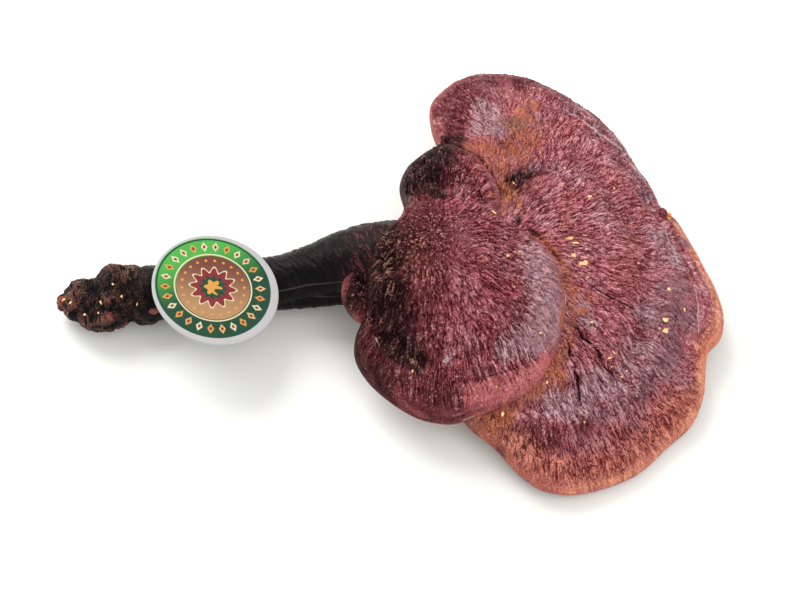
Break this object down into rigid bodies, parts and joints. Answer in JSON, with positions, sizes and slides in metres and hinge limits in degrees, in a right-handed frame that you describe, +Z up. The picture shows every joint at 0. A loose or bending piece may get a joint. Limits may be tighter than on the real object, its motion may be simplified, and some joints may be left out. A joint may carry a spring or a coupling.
{
  "type": "reishi mushroom",
  "caption": "Dried reishi mushroom lying on its rim and stem: a knobbly stem, a broad wrinkled cap, a smaller cap grown over it and a round paper label stuck on the stem.",
  "frame": {"origin": "on the surface that the mushroom rests on, under the middle of its box", "axes": "+X from the root end of the stem towards the caps, +Y to the rear of the caps, +Z up"},
  "size_m": [0.2078, 0.1546, 0.0414],
  "materials": {
    "stem": "black-brown lacquered crust, glossy along the stem and dull and lumpy at the root end",
    "large_cap": "wine-red wrinkled crust, satin, with mauve crests, dark valleys and a rust-orange rim",
    "small_cap": "wine-red wrinkled crust, satin, nearly black-brown beside the stem",
    "label": null
  },
  "bodies": {
    "root": {"stem": "stem", "large_cap": "large_cap", "small_cap": "small_cap", "label": "label"}
  },
  "joints": []
}
